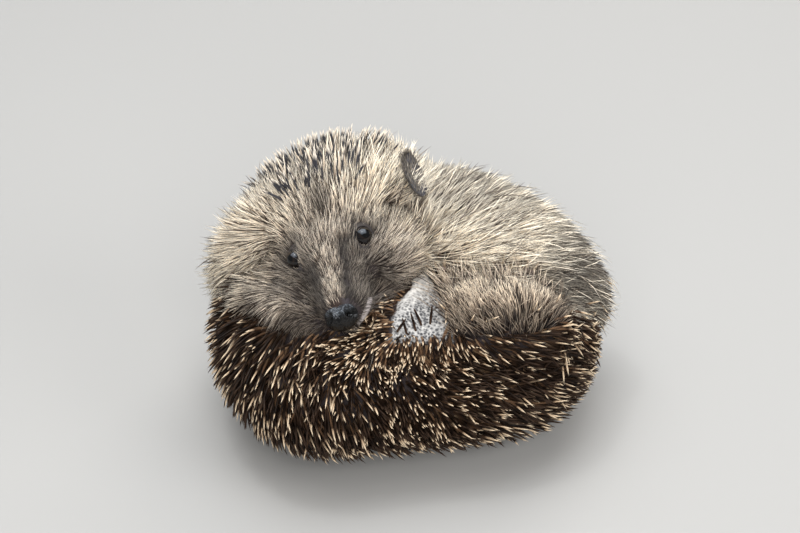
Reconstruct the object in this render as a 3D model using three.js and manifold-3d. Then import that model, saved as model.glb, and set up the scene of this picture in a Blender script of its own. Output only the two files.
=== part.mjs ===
// A young European hedgehog, life size, half curled on its back, as a still museum model.
//
// Millimetres, +Z up, standing on z = 0. The animal's head is at -X and its rump at +X. It lies on
// its spines with the neck bent right round, so that the crown is up, and it looks along -Y over the
// rolled edge of its own right side. The soft belly is shut away in the crease between two rolls of
// flank: the left flank lies behind, the right flank in front, and the four feet and the tail are
// tucked between them.
//
// Every outline goes out to the tips of the coat. Each form is an ellipsoid or a round cone, forms
// that grow into each other are blended, and a neighbour is cut away with a small gap.

import * as THREE from "three";
import { mergeVertices } from "three/addons/utils/BufferGeometryUtils.js";
import Module from "manifold-3d";

const wasm = await Module();
wasm.setup();

// ---- Driving dimensions ------------------------------------------------------------------------

const GAP = 0.3; // between neighbouring solids
const REACH = 160; // further from any centre than the body goes
const FLOOR = 0; // the level of the flats that it rests on

// The head's own axes: forward along the snout, left, and up through the crown.
const HEAD_TURN = 9; // degrees from -Y towards +X
const HEAD_DROP = 17; // degrees that the snout points below level
const HEAD_TILT = 22; // degrees that the left side is higher than the right
const EYES_MIDDLE = new THREE.Vector3(-24.5, -3.5, 69.8);

const EYE_RADIUS = 2.9;
const EYE_SPREAD = 11.4; // each eye from the middle of the face
const SNOUT_LENGTH = 29; // from between the eyes to the tip of the nose
const NOSE_TURN = -0.5; // how far the tip of the snout is bent to the left
const SNOUT_CUT = 9; // where the snout parts from the head, ahead of the eyes

const CUT_SHOULDERS = -6; // x where the shoulders part from the trunk
const CUT_RUMP = 30; // x where the trunk parts from the rump

// How finely each form is divided.
const DETAIL = { mantle: 5, neck: 4, flank: 3, crease: 2, head: 5, nose: 2, eye: 1, ear: 2, limb: 2 };

// ---- Axes of the head ---------------------------------------------------------------------------

const turn = THREE.MathUtils.degToRad(HEAD_TURN);
const drop = THREE.MathUtils.degToRad(HEAD_DROP);
const forward = new THREE.Vector3(
  Math.sin(turn) * Math.cos(drop),
  -Math.cos(turn) * Math.cos(drop),
  -Math.sin(drop),
);
const left = new THREE.Vector3(0, 0, 1).cross(forward).normalize();
left.applyAxisAngle(forward, THREE.MathUtils.degToRad(HEAD_TILT));
const crown = forward.clone().cross(left);
const headAxes = [forward, left, crown];
const worldAxes = [new THREE.Vector3(1, 0, 0), new THREE.Vector3(0, 1, 0), new THREE.Vector3(0, 0, 1)];

// A point of the head, given as millimetres forward, left and up from between the eyes.
const onHead = (f, l, u) =>
  EYES_MIDDLE.clone().addScaledVector(forward, f).addScaledVector(left, l).addScaledVector(crown, u);

const at = (x, y, z) => new THREE.Vector3(x, y, z);

// ---- Forms: functions of a point that are negative inside and about a distance in mm ------------

function ellipsoid(centre, radii, axes = worldAxes) {
  return (p) => {
    const away = p.clone().sub(centre);
    const parts = axes.map((axis, i) => away.dot(axis) / radii[i]);
    const share = Math.hypot(...parts);
    const slope = Math.hypot(...parts.map((part, i) => part / radii[i]));
    return slope < 1e-9 ? -Math.min(...radii) : (share * (share - 1)) / slope;
  };
}

function roundCone(start, end, startRadius, endRadius) {
  const run = end.clone().sub(start);
  return (p) => {
    const t = THREE.MathUtils.clamp(p.clone().sub(start).dot(run) / run.lengthSq(), 0, 1);
    const nearest = start.clone().addScaledVector(run, t);
    return p.distanceTo(nearest) - THREE.MathUtils.lerp(startRadius, endRadius, t);
  };
}

// Forms grown into one, with a soft fillet about as wide as `soft`.
function blend(soft, ...forms) {
  return (p) =>
    forms
      .map((form) => form(p))
      .reduce((a, b) => {
        const h = Math.max(soft - Math.abs(a - b), 0) / soft;
        return Math.min(a, b) - (h * h * soft) / 4;
      });
}

// ---- Solids -------------------------------------------------------------------------------------

// A three.js geometry as a manifold solid: only the positions are kept, and like ones are merged.
function solidFrom(geometry) {
  const bare = geometry.clone();
  bare.deleteAttribute("normal");
  bare.deleteAttribute("uv");
  const merged = mergeVertices(bare, 1e-4);
  return new wasm.Manifold(
    new wasm.Mesh({
      numProp: 3,
      vertProperties: new Float32Array(merged.attributes.position.array),
      triVerts: new Uint32Array(merged.index.array),
    }),
  );
}

// The surface of a form seen from a centre inside it: each point of a fine icosahedron is moved
// along its own ray to where the form, grown by `grow`, changes sign.
function shell(form, centre, detail, grow = 0) {
  const geometry = new THREE.IcosahedronGeometry(1, detail);
  const position = geometry.attributes.position;
  const ray = new THREE.Vector3();
  for (let i = 0; i < position.count; i++) {
    ray.fromBufferAttribute(position, i).normalize();
    let inside = 0;
    let outside = REACH;
    while (outside - inside > 1e-3) {
      const middle = (inside + outside) / 2;
      if (form(centre.clone().addScaledVector(ray, middle)) < grow) inside = middle;
      else outside = middle;
    }
    position.setXYZ(i, ...centre.clone().addScaledVector(ray, inside).toArray());
  }
  return solidFrom(geometry);
}

function block(low, high) {
  const size = high.clone().sub(low);
  const middle = low.clone().add(high).multiplyScalar(0.5);
  return solidFrom(new THREE.BoxGeometry(...size.toArray()).translate(...middle.toArray()));
}

// The half of space beyond a plane through `point`, on the side that `axis` points to.
function halfSpace(point, axis) {
  const box = new THREE.BoxGeometry(2 * REACH, 2 * REACH, 2 * REACH).translate(0, 0, REACH);
  box.applyQuaternion(new THREE.Quaternion().setFromUnitVectors(worldAxes[2], axis));
  return solidFrom(box.translate(...point.toArray()));
}

const cutFrom = (solid, ...others) => others.reduce((rest, other) => rest.subtract(other), solid);

// The largest of the pieces that a cut leaves.
const mainPiece = (solid) => solid.decompose().reduce((a, b) => (b.volume() > a.volume() ? b : a));

function meshOf(name, solid, look) {
  const { vertProperties, triVerts } = mainPiece(solid).getMesh();
  const geometry = new THREE.BufferGeometry();
  geometry.setAttribute("position", new THREE.BufferAttribute(new Float32Array(vertProperties), 3));
  geometry.setIndex(new THREE.BufferAttribute(new Uint32Array(triVerts), 1));
  geometry.computeVertexNormals();
  const mesh = new THREE.Mesh(geometry, look);
  mesh.name = name;
  return mesh;
}

// ---- Materials ----------------------------------------------------------------------------------

const look = (color, roughness) => new THREE.MeshStandardMaterial({ color, roughness, metalness: 0 });
const SPINES = look(0x4a3b2e, 0.55);
const FUR = look(0xa39a87, 0.85);
const FACE_FUR = look(0x857b6e, 0.85);
const BARE_SKIN = look(0x2a2624, 0.4);
const EYE = look(0x060607, 0.08);

// ---- Head ---------------------------------------------------------------------------------------

const headForm = blend(
  7,
  ellipsoid(onHead(-19, 0, -5), [18, 25, 17], headAxes), // braincase
  ellipsoid(onHead(-6, 0, -6), [16, 14.5, 12], headAxes), // brow and eye sockets
  ellipsoid(onHead(-4, 15, -13), [15, 14, 12.5], headAxes), // left cheek
  ellipsoid(onHead(-4, -15, -13), [15, 14, 12.5], headAxes), // right cheek
  roundCone(onHead(2, 0, -5.5), onHead(SNOUT_LENGTH - 8, NOSE_TURN, -3.5), 10.5, 6.3), // snout
  roundCone(onHead(0, 0, -12), onHead(SNOUT_LENGTH - 9, NOSE_TURN, -8.5), 7.5, 3.6), // jaw
  ellipsoid(onHead(SNOUT_LENGTH - 11.5, NOSE_TURN, -7.5), [7.5, 8, 3.8], headAxes), // upper lips
);
const headCentre = onHead(-8, 0, -6);

const noseCentre = onHead(SNOUT_LENGTH - 3.2, NOSE_TURN, -3);
const noseForm = ellipsoid(noseCentre, [3.8, 5.5, 4.4], headAxes);

const eyePlace = (side) => onHead(0, side * EYE_SPREAD, 0);

function eyeball(side, grow = 0) {
  return solidFrom(
    new THREE.IcosahedronGeometry(EYE_RADIUS + grow, DETAIL.eye).translate(...eyePlace(side).toArray()),
  );
}

// Short fur round the eye leaves a dish, so that the front of the ball shows.
const SOCKET_RADIUS = 3.9;
const SOCKET_OUT = 3;

function eyeSocket(side) {
  const out = forward.clone().multiplyScalar(0.31).addScaledVector(left, side * 0.56);
  out.addScaledVector(crown, 0.77).normalize();
  const centre = eyePlace(side).addScaledVector(out, SOCKET_OUT);
  return solidFrom(
    new THREE.IcosahedronGeometry(SOCKET_RADIUS, DETAIL.eye).translate(...centre.toArray()),
  );
}

// An ear is a shallow rounded cup that lies back along the head.
const EAR = { length: 7.5, width: 6, depth: 3.2, wall: 1.6 };
const EAR_PLACES = { left: [-20.5, 29.2, -1], right: [-21, -19, 9] }; // the ruff presses on the right one

function earCup(name, grow = 0) {
  const [ahead, out, up] = EAR_PLACES[name];
  const side = Math.sign(out);
  const centre = onHead(ahead, out, up);
  // Its length runs back and up, and its cup opens sideways.
  const lengthwise = forward.clone().multiplyScalar(-0.77).addScaledVector(crown, 0.62);
  lengthwise.addScaledVector(left, -0.09 * side).normalize();
  const opening = left.clone().multiplyScalar(side).addScaledVector(crown, 0.33);
  opening.addScaledVector(lengthwise, -opening.dot(lengthwise)).normalize();
  const across = opening.clone().cross(lengthwise);
  const axes = [lengthwise, across, opening];
  const outer = ellipsoid(centre, [EAR.length, EAR.width, EAR.depth], axes);
  const cup = shell(outer, centre, DETAIL.ear, grow);
  if (grow) return cup;
  const hollowCentre = centre.clone().addScaledVector(opening, EAR.wall);
  const inner = ellipsoid(
    hollowCentre,
    [EAR.length - EAR.wall, EAR.width - EAR.wall, EAR.depth - 0.4],
    axes,
  );
  return cup.subtract(shell(inner, hollowCentre, DETAIL.ear));
}

// ---- Body ---------------------------------------------------------------------------------------

// The spiny bowl: the mantle of spines over the shoulders, the back and the rump.
const mantleForm = blend(
  14,
  ellipsoid(at(-24, 4, 31), [42, 54, 33]),
  ellipsoid(at(10, 4, 28), [46, 48, 30]),
  ellipsoid(at(33, 6, 26), [31, 38, 28]),
);
const mantleCentre = at(0, 4, 30);

// The neck, with the ruff of long fur that stands out all round the face.
const neckCentre = onHead(-24, -6, -12);
const neckForm = blend(
  8,
  ellipsoid(onHead(-20, -3, -27), [17.2, 47, 40.4], headAxes), // ruff
  ellipsoid(onHead(-31, 1, -22), [19, 34.8, 31.8], headAxes), // nape
);

// The left flank slopes down from the neck to the rump.
const slope = THREE.MathUtils.degToRad(32);
const flankAxes = [
  at(Math.cos(slope), 0, -Math.sin(slope)),
  at(0, 1, 0),
  at(Math.sin(slope), 0, Math.cos(slope)),
];
const leftFlankCentre = at(27, 20, 50);
const leftFlankForm = ellipsoid(leftFlankCentre, [48, 25, 25.5], flankAxes);

// The right flank's rolled edge lies in front.
const rightFlankCentre = at(27, -13, 45.5);
const rightFlankForm = ellipsoid(rightFlankCentre, [28, 18, 17.5]);

// The crease between the two flanks, open above the belly.
const creaseCentre = at(28, -1.5, 58.5);
const creaseForm = ellipsoid(creaseCentre, [25, 5, 8.5]);

// Legs and tail, tucked into the crease: [start, end, start radius, end radius].
const LIMBS = {
  leg_front_left: [at(7, 8, 40), at(13, 2, 55), 6.5, 3.3],
  leg_front_right: [at(12, -16, 38), at(20, -2, 55), 6, 3.2],
  leg_hind_left: [at(35, 10, 36), at(30, 2, 55.5), 7.5, 3.5],
  leg_hind_right: [at(43, -13, 33), at(38, -1.5, 54), 6.5, 3.4],
  tail: [at(56, -2, 34), at(46, 1, 52), 4.5, 2],
};

function limb(name, grow = 0) {
  const [start, end, startRadius, endRadius] = LIMBS[name];
  const middle = start.clone().add(end).multiplyScalar(0.5);
  return shell(roundCone(start, end, startRadius, endRadius), middle, DETAIL.limb, grow);
}

// ---- Making the pieces --------------------------------------------------------------------------

const limbNames = Object.keys(LIMBS);

// What the neighbours leave free for the head and the nose.
const headRoom = () =>
  shell(headForm, headCentre, DETAIL.head, GAP).add(shell(noseForm, noseCentre, DETAIL.nose, GAP));

function makeHead() {
  const whole = cutFrom(
    shell(headForm, headCentre, DETAIL.head),
    shell(noseForm, noseCentre, DETAIL.nose, GAP),
    eyeball(1, GAP),
    eyeball(-1, GAP),
    eyeSocket(1),
    eyeSocket(-1),
    earCup("left", GAP),
    earCup("right", GAP),
  );
  const cut = onHead(SNOUT_CUT, 0, 0);
  const ahead = halfSpace(cut.clone().addScaledVector(forward, GAP / 2), forward);
  const behind = halfSpace(
    cut.clone().addScaledVector(forward, -GAP / 2),
    forward.clone().negate(),
  );
  return {
    head: meshOf("head", whole.intersect(behind), FACE_FUR),
    snout: meshOf("snout", whole.intersect(ahead), FACE_FUR),
  };
}

function makeBody() {
  const head = headRoom();
  const ears = [earCup("left", GAP), earCup("right", GAP)];
  const limbs = limbNames.map((name) => limb(name, GAP));
  const neck = shell(neckForm, neckCentre, DETAIL.neck);
  const mantleWhole = shell(mantleForm, mantleCentre, DETAIL.mantle);
  const mantleRoom = shell(mantleForm, mantleCentre, DETAIL.mantle, GAP);
  const rightFlank = shell(rightFlankForm, rightFlankCentre, DETAIL.flank);
  const rightRoom = shell(rightFlankForm, rightFlankCentre, DETAIL.flank, GAP);
  const leftFlank = shell(leftFlankForm, leftFlankCentre, DETAIL.flank);
  const leftRoom = shell(leftFlankForm, leftFlankCentre, DETAIL.flank, GAP);
  const crease = shell(creaseForm, creaseCentre, DETAIL.crease);
  const mantle = cutFrom(mantleWhole, head, rightRoom, leftRoom, crease, ...limbs);
  const slab = (from, to) => block(at(from, -REACH, FLOOR), at(to, REACH, REACH));
  return {
    neck: meshOf("neck", cutFrom(neck, head, ...ears, mantleRoom, leftRoom, rightRoom), FUR),
    flank_left: meshOf(
      "flank_left",
      cutFrom(leftFlank, head, ...ears, rightRoom, crease, ...limbs),
      FUR,
    ),
    flank_right: meshOf("flank_right", cutFrom(rightFlank, head, crease, ...limbs), FUR),
    shoulders: meshOf(
      "shoulders",
      mantle.intersect(slab(-REACH, CUT_SHOULDERS - GAP / 2)),
      SPINES,
    ),
    trunk: meshOf(
      "trunk",
      mantle.intersect(slab(CUT_SHOULDERS + GAP / 2, CUT_RUMP - GAP / 2)),
      SPINES,
    ),
    rump: meshOf("rump", mantle.intersect(slab(CUT_RUMP + GAP / 2, REACH)), SPINES),
  };
}

function makeLimbs() {
  const head = headRoom();
  return limbNames.map((name, i) => {
    const earlier = limbNames.slice(0, i).map((other) => limb(other, GAP));
    return meshOf(name, cutFrom(limb(name), head, ...earlier), name === "tail" ? BARE_SKIN : FACE_FUR);
  });
}

const hedgehog = new THREE.Group();
hedgehog.add(
  ...Object.values(makeHead()),
  meshOf("nose", shell(noseForm, noseCentre, DETAIL.nose), BARE_SKIN),
  meshOf("eye_left", eyeball(1), EYE),
  meshOf("eye_right", eyeball(-1), EYE),
  meshOf("ear_left", earCup("left"), BARE_SKIN),
  meshOf("ear_right", earCup("right"), BARE_SKIN),
  ...Object.values(makeBody()),
  ...makeLimbs(),
);

// The origin is under the middle of the whole model, on the floor.
const bounds = new THREE.Box3().setFromObject(hedgehog);
hedgehog.position.set(
  -(bounds.min.x + bounds.max.x) / 2,
  -(bounds.min.y + bounds.max.y) / 2,
  -bounds.min.z,
);

export default hedgehog;
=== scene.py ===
# %% [markdown]
# # A hedgehog half curled on its back
#
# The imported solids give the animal's outline, out to the tips of its coat. This lesson dresses them:
# one skin that lies inside them all, then the small bare parts of the head, then spines and fur.
# Everything is in metres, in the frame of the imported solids.

import bpy
import numpy as np
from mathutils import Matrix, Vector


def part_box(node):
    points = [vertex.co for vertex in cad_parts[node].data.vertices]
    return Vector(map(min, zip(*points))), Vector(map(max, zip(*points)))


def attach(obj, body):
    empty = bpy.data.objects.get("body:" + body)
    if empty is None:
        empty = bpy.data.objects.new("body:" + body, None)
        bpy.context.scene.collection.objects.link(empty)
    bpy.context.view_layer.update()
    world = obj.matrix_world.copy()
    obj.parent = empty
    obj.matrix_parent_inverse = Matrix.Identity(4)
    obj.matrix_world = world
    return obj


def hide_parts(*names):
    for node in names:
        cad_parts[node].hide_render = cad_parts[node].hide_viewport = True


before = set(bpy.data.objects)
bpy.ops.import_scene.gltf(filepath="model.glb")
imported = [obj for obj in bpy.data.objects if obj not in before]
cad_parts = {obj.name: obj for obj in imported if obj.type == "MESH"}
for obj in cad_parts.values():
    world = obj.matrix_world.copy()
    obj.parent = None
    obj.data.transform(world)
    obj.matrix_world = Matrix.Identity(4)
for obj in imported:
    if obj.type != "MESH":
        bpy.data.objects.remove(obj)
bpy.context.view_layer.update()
MM = 0.001  # the sizes below are in millimetres, as a naturalist would note them
print("packed nodes:", sorted(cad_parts))

# %% [markdown]
# ## The head's own axes
#
# A curled animal's head is turned and tilted, so its features are placed in axes of its own:
# forward along the snout, left, and crown. They could be typed in as angles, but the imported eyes
# and nose already fix them: the eyes give the left axis and the middle, and the nose, which hangs
# a little below the line of sight, gives the other two.

# %% Axes from the eyes and the nose
NOSE_AHEAD, NOSE_LEFT, NOSE_UP = 25.8, -0.5, -3.0  # the middle of the nose from between the eyes


def unit(vectors):
    """Vectors divided by their own lengths."""
    return vectors / np.maximum(np.linalg.norm(vectors, axis=-1, keepdims=True), 1e-12)


def centre_of(node):
    low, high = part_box(node)
    return (np.array(low) + np.array(high)) / 2


eyes_middle = (centre_of("eye_left") + centre_of("eye_right")) / 2
left = unit(centre_of("eye_left") - centre_of("eye_right"))
to_nose = centre_of("nose") - eyes_middle
to_nose = unit(to_nose - left * (to_nose @ left))
square_up = np.cross(to_nose, left)
dip = np.arctan2(-NOSE_UP, NOSE_AHEAD)
forward = np.cos(dip) * to_nose + np.sin(dip) * square_up
crown = np.cross(forward, left)
HEAD_AXES = np.array([forward, left, crown])
print("forward", forward.round(3), "left", left.round(3), "crown", crown.round(3))


def on_head(ahead, to_left, up):
    """A place on the head, in millimetres from between the eyes."""
    return eyes_middle + MM * (ahead * forward + to_left * left + up * crown)


def in_head(places):
    """How far ahead, to the left and up places are, in millimetres from between the eyes."""
    return np.moveaxis((places - eyes_middle) @ HEAD_AXES.T / MM, -1, 0)


# The body's plan has its zero on the floor, and the eyes tell where that is in the frame.
EYES_ON_PLAN = np.array([-24.5, -3.5, 69.8])
plan_zero = eyes_middle - EYES_ON_PLAN * MM


def plan(x, y, z):
    """A place on the body's plan, in millimetres."""
    return plan_zero + MM * np.array([x, y, z], float)


# %% [markdown]
# ## Camera and light
#
# A still model is looked at from a little above, with a long lens. The light is a studio's: soft
# lamps overhead, in front and at the right, a weak one behind that lights the tips of the coat, and
# a pale room. Lamps would show as white squares in anything wet, so only two of them are mirrored.

# %% Camera
CAMERA_RISE = np.radians(35)
CAMERA_AWAY = 720 * MM
LENS, SENSOR_WIDTH = 100, 36
look_at = plan(-1.9, 0, 60.1)
to_camera = np.array([0, -np.cos(CAMERA_RISE), np.sin(CAMERA_RISE)])


def in_scene(name, data, place=(0, 0, 0), turn=(0, 0, 0)):
    """A new object that holds the data, linked to the scene."""
    thing = bpy.data.objects.new(name, data)
    thing.location, thing.rotation_euler = place, turn
    bpy.context.collection.objects.link(thing)
    return thing


camera_data = bpy.data.cameras.new("camera")
camera_data.lens, camera_data.sensor_width = LENS, SENSOR_WIDTH
bpy.context.scene.camera = in_scene(
    "camera", camera_data, look_at + CAMERA_AWAY * to_camera, (np.pi / 2 - CAMERA_RISE, 0, 0))

# %% Lamps and room


def lamp(name, place, size, power, colour, mirrored=False):
    """A square area lamp that faces the animal. mirrored lets it show in wet surfaces."""
    data = bpy.data.lights.new(name, "AREA")
    data.size, data.energy, data.color = size, power, colour
    away = unit(np.array(place) - look_at)
    one = in_scene(name, data, place, (np.arccos(away[2]), 0, np.arctan2(away[0], -away[1])))
    one.visible_glossy = mirrored
    return one


lamp("key", (-0.25, -0.15, 1.05), 0.9, 5.0, (1.0, 0.985, 0.96))
lamp("window", (-0.06, 0.25, 1.0), 0.9, 7.5, (0.92, 0.96, 1.0), mirrored=True)
lamp("front", (0.0, -1.0, 0.6), 0.8, 11.0, (1.0, 0.99, 0.98))
lamp("side", (0.85, -0.45, 0.55), 0.6, 5.0, (1.0, 0.99, 0.98))
lamp("spark", (-0.24, 0.05, 1.0), 0.13, 1.3, (1.0, 1.0, 1.0), mirrored=True)
lamp("back", (0.35, 0.75, 0.7), 0.6, 4.0, (1.0, 0.97, 0.93))

room = bpy.data.worlds.new("room")
room.use_nodes = True
background = room.node_tree.nodes["Background"]
background.inputs["Color"].default_value = (0.8, 0.81, 0.83, 1)
background.inputs["Strength"].default_value = 0.38
bpy.context.scene.world = room
bpy.context.scene.view_settings.view_transform = "Standard"

# %% [markdown]
# ## Making meshes from arrays
#
# Every piece below is worked out as arrays of points and corners. One function turns them into a
# mesh, because writing whole arrays is hundreds of times faster than adding faces one by one.

# %% Arrays to a mesh


def as_mesh(name, points, *corner_sets):
    """A smooth mesh of points (n, 3) and of faces, given as arrays of corners with one row a face."""
    mesh = bpy.data.meshes.new(name)
    corners = np.concatenate([c.ravel() for c in corner_sets]).astype(np.int32)
    sizes = np.concatenate([np.full(len(c), c.shape[1]) for c in corner_sets])
    starts = np.concatenate([[0], np.cumsum(sizes)[:-1]]).astype(np.int32)
    mesh.vertices.add(len(points))
    mesh.vertices.foreach_set("co", points.astype(np.float32).ravel())
    mesh.loops.add(len(corners))
    mesh.loops.foreach_set("vertex_index", corners)
    mesh.polygons.add(len(sizes))
    mesh.polygons.foreach_set("loop_start", starts)
    mesh.update(calc_edges=True)
    mesh.shade_smooth()
    return mesh


def give(mesh, name, values):
    """Puts one number a point on the mesh, under a name that materials can read."""
    layer = mesh.attributes.new(name, "FLOAT", "POINT")
    layer.data.foreach_set("value", np.asarray(values, np.float32).ravel())


def bake_map(mesh, uv):
    """The map named OFBake, from one place (u, v) a point."""
    corners = np.empty(len(mesh.loops), np.int32)
    mesh.loops.foreach_get("vertex_index", corners)
    layer = mesh.uv_layers.new(name="OFBake")
    layer.data.foreach_set("uv", uv[corners].astype(np.float32).ravel())


def place_piece(mesh, material, *nodes, slot):
    """Links the mesh as a piece that rides on the one body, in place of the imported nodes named."""
    piece = in_scene(mesh.name, mesh)
    mesh.materials.append(material)
    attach(piece, "root")
    if nodes:
        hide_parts(*nodes)
    return piece


def grid_corners(rows, columns, wrap_rows=False):
    """Corners of a grid of points, rows by columns, closed across its columns, for points numbered
    row after row. Each row runs anticlockwise as seen from the side of the higher rows."""
    row = np.arange(rows if wrap_rows else rows - 1)[:, None] * columns
    column = np.arange(columns)[None, :]
    after, above = (column + 1) % columns, (row + columns) % (rows * columns)
    return np.stack([row + column, row + after, above + after, above + column], -1).reshape(-1, 4)


def closed_ball(points):
    """Points (rows, columns, 3) from pole to pole, as one list with a single point at each pole, and
    its faces: fans at the poles and quads between."""
    rows, columns = points.shape[:2]
    flat = np.concatenate([points[1:-1].reshape(-1, 3), points[:1, 0], points[-1:, 0]])
    ring = np.arange(columns)
    after = (ring + 1) % columns
    top = (rows - 3) * columns
    first, last = (np.full(columns, top + columns + pole) for pole in (0, 1))
    fans = np.concatenate([
        np.stack([first, after, ring], -1), np.stack([last, top + ring, top + after], -1)])
    return flat, grid_corners(rows - 2, columns), fans


def joined(name, parts):
    """One mesh of several closed shapes, each given as points, quads and fans."""
    steps = np.cumsum([0] + [len(points) for points, _, _ in parts])
    faces = [np.concatenate([part[kind] + step for part, step in zip(parts, steps)]) for kind in (1, 2)]
    return as_mesh(name, np.concatenate([part[0] for part in parts]), *faces)


# %% [markdown]
# ## Forms
#
# The flesh of an animal is a few smooth masses grown together. Each is a function of a point, about
# its distance from the surface and negative inside: an ellipsoid, or a cone with round ends. Two are
# grown together by taking the smaller of them, less a little where they are nearly equal, which
# leaves a fillet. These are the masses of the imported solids, and the skin is where such a function
# equals minus the coat's depth. The rules further down fade in and out with ease, fall and bell.

# %% Forms as functions of points


def ellipsoid(centre, radii, axes=np.eye(3)):
    """share (share - 1) / slope, where share is how many radii out a point lies, and slope how fast
    that grows."""
    radii = np.array(radii, float) * MM

    def form(p):
        part = (p - centre) @ axes.T / radii
        share = np.linalg.norm(part, axis=-1)
        slope = np.linalg.norm(part / radii, axis=-1)
        return share * (share - 1) / np.maximum(slope, 1e-9)

    return form


def round_cone(start, end, start_radius, end_radius):
    """Distance to the line from start to end, less a radius that changes evenly along it."""
    run = end - start

    def form(p):
        t = np.clip((p - start) @ run / (run @ run), 0, 1)
        radius = start_radius + (end_radius - start_radius) * t
        return np.linalg.norm(p - start - t[..., None] * run, axis=-1) - radius * MM

    return form


def grown_together(soft, *forms):
    """The smaller of the forms, less h² soft / 4, where h falls from 1 where two are equal to 0
    where they differ by soft."""
    soft = soft * MM

    def form(p):
        least = forms[0](p)
        for other in forms[1:]:
            value = other(p)
            h = np.maximum(soft - np.abs(least - value), 0) / soft
            least = np.minimum(least, value) - h * h * soft / 4
        return least

    return form


def ease(x, low, high):
    """0 below low, 1 above high, and a smooth S between."""
    t = np.clip((x - low) / (high - low), 0, 1)
    return t * t * (3 - 2 * t)


def fall(x, low, high):
    """1 below low, 0 above high."""
    return 1 - ease(x, low, high)


def bell(x, width, power=2):
    """1 at 0, and 0 well beyond the width on both sides: exp(-(x / width) ^ power)."""
    return np.exp(-((x / width) ** power))


def near(p, place, reach, power=4):
    """1 at a place, and 0 well beyond a reach in millimetres: the bell of the distance."""
    return bell(np.linalg.norm(p - place, axis=-1), reach * MM, power)


# %% The masses of the head
SNOUT_LENGTH = 29
head_mass = grown_together(
    7,
    ellipsoid(on_head(-19, 0, -5), [18, 25, 17], HEAD_AXES),
    ellipsoid(on_head(-6, 0, -6), [16, 14.5, 12], HEAD_AXES),
    *(ellipsoid(on_head(-4, cheek, -13), [15, 14, 12.5], HEAD_AXES) for cheek in (15, -15)),
    round_cone(on_head(2, 0, -5.5), on_head(SNOUT_LENGTH - 8, NOSE_LEFT, -3.5), 10.5, 6.3),
    round_cone(on_head(0, 0, -12), on_head(SNOUT_LENGTH - 9, NOSE_LEFT, -8.5), 7.5, 3.6),
    ellipsoid(on_head(SNOUT_LENGTH - 11.5, NOSE_LEFT, -7.5), [7.5, 8, 3.8], HEAD_AXES),
)
neck_mass = grown_together(
    8,
    ellipsoid(on_head(-20, -3, -27), [17.2, 47, 40.4], HEAD_AXES),
    ellipsoid(on_head(-31, 1, -22), [19, 34.8, 31.8], HEAD_AXES),
)

# %% The masses of the body
MANTLE_MIDDLE, FLANK_MIDDLE, ROLL_MIDDLE = plan(0, 4, 30), plan(27, 20, 50), plan(27, -13, 45.5)
FLANK_SLOPE = np.radians(32)
mantle_mass = grown_together(
    14,
    ellipsoid(plan(-24, 4, 31), [42, 54, 33]),
    ellipsoid(plan(10, 4, 28), [46, 48, 30]),
    ellipsoid(plan(33, 6, 26), [31, 38, 28]),
)
FLANK_AXES = np.array([[np.cos(FLANK_SLOPE), 0, -np.sin(FLANK_SLOPE)], [0, 1, 0],
                       [np.sin(FLANK_SLOPE), 0, np.cos(FLANK_SLOPE)]])
left_flank_mass = ellipsoid(FLANK_MIDDLE, [48, 25, 25.5], FLANK_AXES)
right_flank_mass = ellipsoid(ROLL_MIDDLE, [28, 18, 17.5])
LIMBS = {
    "leg_front_left": (plan(7, 8, 40), plan(13, 2, 55), 6.5, 3.3),
    "leg_front_right": (plan(12, -16, 38), plan(20, -2, 55), 6, 3.2),
    "leg_hind_left": (plan(35, 10, 36), plan(30, 2, 55.5), 7.5, 3.5),
    "leg_hind_right": (plan(43, -13, 33), plan(38, -1.5, 54), 6.5, 3.4),
    "tail": (plan(56, -2, 34), plan(46, 1, 52), 4.5, 2),
}

# %% [markdown]
# ## The rim of the spines
#
# The spiny mantle wraps the curled body like a bowl that is tipped back, and its rim runs under the
# chin, up to a small bare patch, and along the lower edge of the rolled flank. So the rim is given
# as a height, square to a line tipped back by 35 degrees, that changes with the place from left to
# right. Height above the rim tells fur from spines, and the patch is a blunt triangle that hangs
# from the rim's peak.

# %% The rim and the bare patch
TIP = np.radians(35)
PEAK_X, PEAK_HEIGHT = 5.6, 51.0
PATCH_FOOT = 25.0


def on_plan(p):
    """x, y and z in millimetres on the body's plan."""
    return np.moveaxis((p - plan_zero) / MM, -1, 0)


def tipped_height(p):
    x, y, z = on_plan(p)
    return y * np.sin(TIP) + z * np.cos(TIP)


def rim_height(x):
    """30 under the nose, 8 more at the far left, a slope of 1.1 up to the peak, a steeper one down
    from it, and then 28.5 along the flank, 7 more at its end."""
    left_side = 30 + np.maximum(8 * ease(-x - 23, 4, 28), 1.1 * np.maximum(x + 17, 0))
    right_side = np.maximum(PEAK_HEIGHT - 1.9 * (x - PEAK_X), 28.5 + 7 * ease(x, 38, 54))
    return np.where(x < PEAK_X, left_side, right_side)


def at_front(p):
    return fall(on_plan(p)[1], 0, 8)


def under_rim(p, lowered=0.0):
    """1 on the spiny side of the rim at the front, and everywhere at the back."""
    front = at_front(p)
    return front * ease(rim_height(on_plan(p)[0]) - lowered - tipped_height(p), -1.2, 1.2) + 1 - front


def chin(p):
    """1 on the mantle's furry edge, between the jaw and the rim."""
    return (1 - under_rim(p)) * fall(on_plan(p)[0], 1, 5)


def patch_depth(p):
    """How far inside the bare patch a place is, in millimetres: the least of its distances to the
    sides, which open by half a millimetre a millimetre below the peak and more slowly further down,
    and to the foot."""
    x, y, _ = on_plan(p)
    below = PEAK_HEIGHT - tipped_height(p)
    sides = np.minimum(0.5 * below, 5.8 + 0.18 * below) - np.abs(x - PEAK_X + 0.04 * below)
    return np.minimum(sides, 0.7 * (PEAK_HEIGHT - PATCH_FOOT - below)) - 6 * ease(y, 4, 12)


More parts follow.
